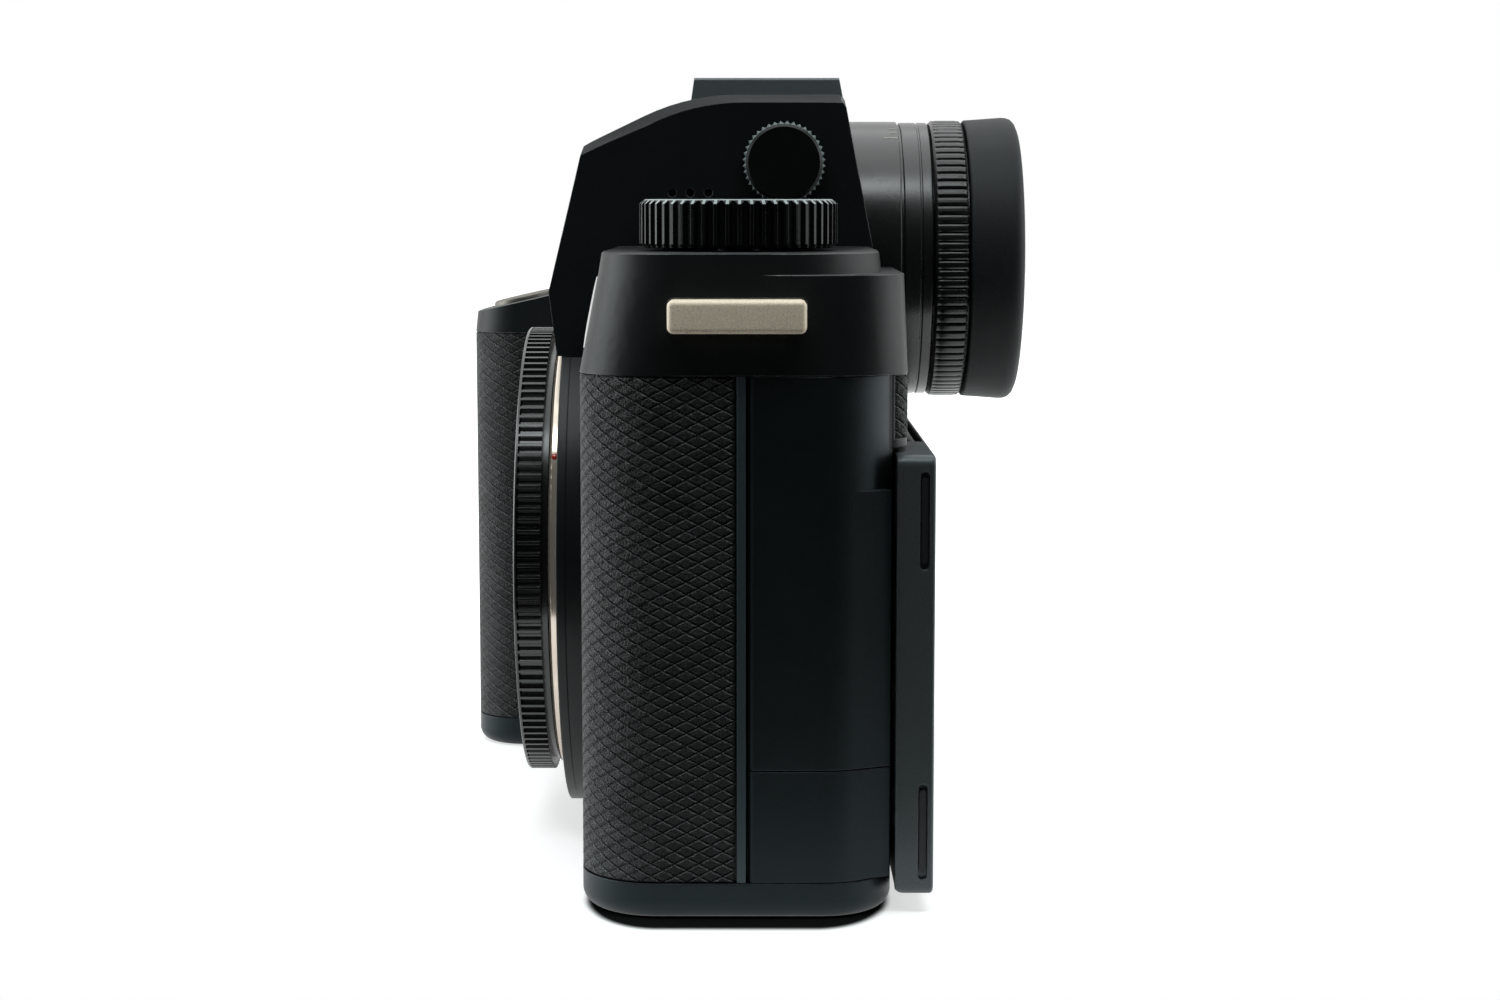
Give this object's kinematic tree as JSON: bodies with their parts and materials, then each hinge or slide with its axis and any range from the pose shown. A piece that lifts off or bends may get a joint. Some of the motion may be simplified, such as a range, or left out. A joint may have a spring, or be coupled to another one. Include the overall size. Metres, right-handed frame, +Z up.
{
  "type": "mirrorless camera",
  "caption": "Mirrorless camera body with a body cap, round eyepiece, accessory shoe, tilting rear screen, hinged side doors and a slide-out battery.",
  "frame": {"origin": "mouth of the tripod socket in the middle of the base, under the lens axis", "axes": "+X along the body from the grip towards the side with the socket doors, +Y from the lens mount to the eyepiece, +Z up"},
  "size_m": [0.1412, 0.0845, 0.1081],
  "materials": {
    "body_paint": "fine-grained satin black paint on cast metal",
    "leather": "black covering embossed with small lozenges",
    "rib_metal": "semi-matt blue-black",
    "door_plastic": "matt black, finely grained",
    "satin_metal": "dark satin metal",
    "lug_metal": "satin nickel",
    "steel": "plain machined",
    "bright_steel": "polished stainless ring",
    "dark_metal": "black anodised, finely grained",
    "button_metal": "dark anodised, turned face",
    "key_plastic": "matt black",
    "cap_plastic": "matt black",
    "battery_plastic": "matt black",
    "inner_plastic": "matt black, inside",
    "shoe_plastic": "black with bright contact pads",
    "screen_plastic": "satin black",
    "screen_glass": "glossy black display window",
    "window_gloss": "glossy dark window",
    "lens_glass": "clear coated eyepiece lens",
    "sensor_glass": "glossy dark filter glass over a sensor",
    "leaf_metal": "thin black shutter leaf",
    "eyecup_rubber": "matt soft rubber",
    "rubber_cap": "matt, finely textured"
  },
  "bodies": {
    "camera": {"accessory_shoe": "satin_metal", "base_plate": "body_paint", "battery_bay": "inner_plastic", "card_slots": "inner_plastic", "chassis_plate": "steel", "eyecup": "eyecup_rubber", "eyepiece_barrel": "body_paint", "eyepiece_lens": "lens_glass", "finder_optics": "inner_plastic", "front_casing": "body_paint", "front_window": "window_gloss", "image_sensor": "sensor_glass", "leather_brow": "leather", "leather_front": "leather", "leather_grip": "leather", "leather_thumb": "leather", "mount_ring": "bright_steel", "mount_screws": "dark_metal", "port_sockets": "inner_plastic", "rear_casing": "body_paint", "rib_grip_side": "rib_metal", "rib_socket_side": "rib_metal", "shoe_contacts": "shoe_plastic", "shutter_frame": "inner_plastic", "strap_lug_grip_side": "lug_metal", "strap_lug_socket_side": "lug_metal", "top_cover": "body_paint", "tripod_socket": "steel"},
    "dial_socket_side": {"dial_socket_side": "dark_metal"},
    "dial_thumb": {"dial_thumb": "dark_metal"},
    "mode_dial": {"mode_dial": "dark_metal"},
    "power_lever": {"power_lever": "dark_metal"},
    "side_knob": {"side_knob": "dark_metal"},
    "front_wheel": {"front_wheel": "dark_metal"},
    "shutter_button": {"shutter_button": "button_metal"},
    "rear_dial": {"rear_dial": "dark_metal"},
    "deck_key_1": {"deck_key_1": "key_plastic"},
    "deck_key_2": {"deck_key_2": "key_plastic"},
    "deck_key_3": {"deck_key_3": "key_plastic"},
    "back_key_1": {"back_key_1": "key_plastic"},
    "back_key_2": {"back_key_2": "key_plastic"},
    "back_key_3": {"back_key_3": "key_plastic"},
    "joystick_ring": {"joystick_ring": "inner_plastic"},
    "joystick": {"joystick": "rubber_cap"},
    "diopter_ring": {"diopter_ring": "dark_metal"},
    "door_upper": {"door_upper": "door_plastic"},
    "door_lower": {"door_lower": "door_plastic"},
    "card_door": {"card_door": "door_plastic"},
    "battery": {"battery": "battery_plastic"},
    "battery_lever": {"battery_lever": "dark_metal"},
    "lens_release": {"lens_release_button": "button_metal", "lens_lock_pin": "steel"},
    "body_cap": {"body_cap": "cap_plastic"},
    "screen_arm": {"screen_arm": "steel"},
    "screen": {"screen_housing": "screen_plastic", "screen_glass": "screen_glass", "screen_strips": "rib_metal"},
    "shutter_leaf_1": {"shutter_leaf_1": "leaf_metal"},
    "shutter_leaf_2": {"shutter_leaf_2": "leaf_metal"},
    "shutter_leaf_3": {"shutter_leaf_3": "leaf_metal"}
  },
  "joints": [
    {"name": "socket_side_dial_turn", "type": "hinge", "parent": "camera", "child": "dial_socket_side", "pos_m": [0.0455, -0.0015, 0.0843], "axis": [0, 0, 1], "continuous": true},
    {"name": "thumb_dial_turn", "type": "hinge", "parent": "camera", "child": "dial_thumb", "pos_m": [-0.0575, 0.006, 0.0815], "axis": [0, 0, 1], "continuous": true},
    {"name": "mode_dial_turn", "type": "hinge", "parent": "camera", "child": "mode_dial", "pos_m": [-0.0365, 0.0015, 0.0815], "axis": [0, 0, 1], "continuous": true},
    {"name": "power_lever_turn", "type": "hinge", "parent": "camera", "child": "power_lever", "pos_m": [-0.0365, 0.0015, 0.0815], "axis": [0, 0, 1], "range_deg": [0, 35]},
    {"name": "side_knob_turn", "type": "hinge", "parent": "camera", "child": "side_knob", "pos_m": [0.0225, 0.0047, 0.0959], "axis": [1, 0, 0], "continuous": true},
    {"name": "front_wheel_turn", "type": "hinge", "parent": "camera", "child": "front_wheel", "pos_m": [-0.0565, -0.02615, 0.07172], "axis": [1, 0, 0], "continuous": true},
    {"name": "shutter_press", "type": "slide", "parent": "camera", "child": "shutter_button", "axis": [0, 0.225, -0.9744], "range_m": [0, 0.001], "stiffness_N_per_m": 900},
    {"name": "rear_dial_turn", "type": "hinge", "parent": "camera", "child": "rear_dial", "pos_m": [-0.0465, 0.0182, 0.032], "axis": [0, 1, 0], "continuous": true},
    {"name": "deck_key_1_press", "type": "slide", "parent": "camera", "child": "deck_key_1", "axis": [0, 0, -1], "range_m": [0, 0.0007], "stiffness_N_per_m": 900},
    {"name": "deck_key_2_press", "type": "slide", "parent": "camera", "child": "deck_key_2", "axis": [0, 0, -1], "range_m": [0, 0.0007], "stiffness_N_per_m": 900},
    {"name": "deck_key_3_press", "type": "slide", "parent": "camera", "child": "deck_key_3", "axis": [0, 0, -1], "range_m": [0, 0.0007], "stiffness_N_per_m": 900},
    {"name": "back_key_1_press", "type": "slide", "parent": "camera", "child": "back_key_1", "axis": [0, -1, 0], "range_m": [0, 0.0007], "stiffness_N_per_m": 900},
    {"name": "back_key_2_press", "type": "slide", "parent": "camera", "child": "back_key_2", "axis": [0, -1, 0], "range_m": [0, 0.0007], "stiffness_N_per_m": 900},
    {"name": "back_key_3_press", "type": "slide", "parent": "camera", "child": "back_key_3", "axis": [0, -1, 0], "range_m": [0, 0.0007], "stiffness_N_per_m": 900},
    {"name": "joystick_tilt_up_down", "type": "hinge", "parent": "camera", "child": "joystick_ring", "pos_m": [-0.033, 0.0144, 0.0643], "axis": [1, 0, 0], "range_deg": [-8, 8], "stiffness_Nm_per_rad": 0.5},
    {"name": "joystick_tilt_left_right", "type": "hinge", "parent": "joystick_ring", "child": "joystick", "pos_m": [-0.033, 0.0144, 0.0643], "axis": [0, 0, 1], "range_deg": [-8, 8], "stiffness_Nm_per_rad": 0.5},
    {"name": "diopter_ring_turn", "type": "hinge", "parent": "camera", "child": "diopter_ring", "pos_m": [0, 0.028, 0.0822], "axis": [0, 1, 0], "range_deg": [-60, 60]},
    {"name": "door_upper_swing", "type": "hinge", "parent": "camera", "child": "door_upper", "pos_m": [0.06363, 0.00059, 0.04], "axis": [0, 0, 1], "range_deg": [-100, 0]},
    {"name": "door_lower_swing", "type": "hinge", "parent": "camera", "child": "door_lower", "pos_m": [0.06363, 0.00059, 0.012], "axis": [0, 0, 1], "range_deg": [-100, 0]},
    {"name": "card_door_swing", "type": "hinge", "parent": "camera", "child": "card_door", "pos_m": [-0.06913, 0.00285, 0.035], "axis": [0, 0, 1], "range_deg": [0, 100]},
    {"name": "battery_slide", "type": "slide", "parent": "camera", "child": "battery", "axis": [0, 0, 1], "range_m": [-0.064, 0]},
    {"name": "battery_lever_turn", "type": "hinge", "parent": "camera", "child": "battery_lever", "pos_m": [-0.038, -0.012, 0.0008], "axis": [0, 0, 1], "range_deg": [0, 45]},
    {"name": "lens_release_press", "type": "slide", "parent": "camera", "child": "lens_release", "axis": [0, 1, 0], "range_m": [0, 0.0016], "stiffness_N_per_m": 900},
    {"name": "body_cap_pull", "type": "slide", "parent": "camera", "child": "body_cap", "axis": [0, -1, 0], "range_m": [0, 0.04]},
    {"name": "screen_arm_tilt", "type": "hinge", "parent": "camera", "child": "screen_arm", "pos_m": [0.023, 0.0202, 0.004], "axis": [1, 0, 0], "range_deg": [-45, 0]},
    {"name": "screen_tilt", "type": "hinge", "parent": "screen_arm", "child": "screen", "pos_m": [0.023, 0.0215, 0.0578], "axis": [1, 0, 0], "range_deg": [0, 88]},
    {"name": "shutter_leaf_1_rise", "type": "slide", "parent": "camera", "child": "shutter_leaf_1", "axis": [0, 0, 1], "range_m": [0, 0.0286]},
    {"name": "shutter_leaf_2_rise", "type": "slide", "parent": "camera", "child": "shutter_leaf_2", "axis": [0, 0, 1], "range_m": [0, 0.01945]},
    {"name": "shutter_leaf_3_rise", "type": "slide", "parent": "camera", "child": "shutter_leaf_3", "axis": [0, 0, 1], "range_m": [0, 0.0103]}
  ],
  "couplings": [
    {"joint": "shutter_leaf_2_rise", "follows": "shutter_leaf_1_rise", "ratio": 0.68},
    {"joint": "shutter_leaf_3_rise", "follows": "shutter_leaf_1_rise", "ratio": 0.36}
  ]
}
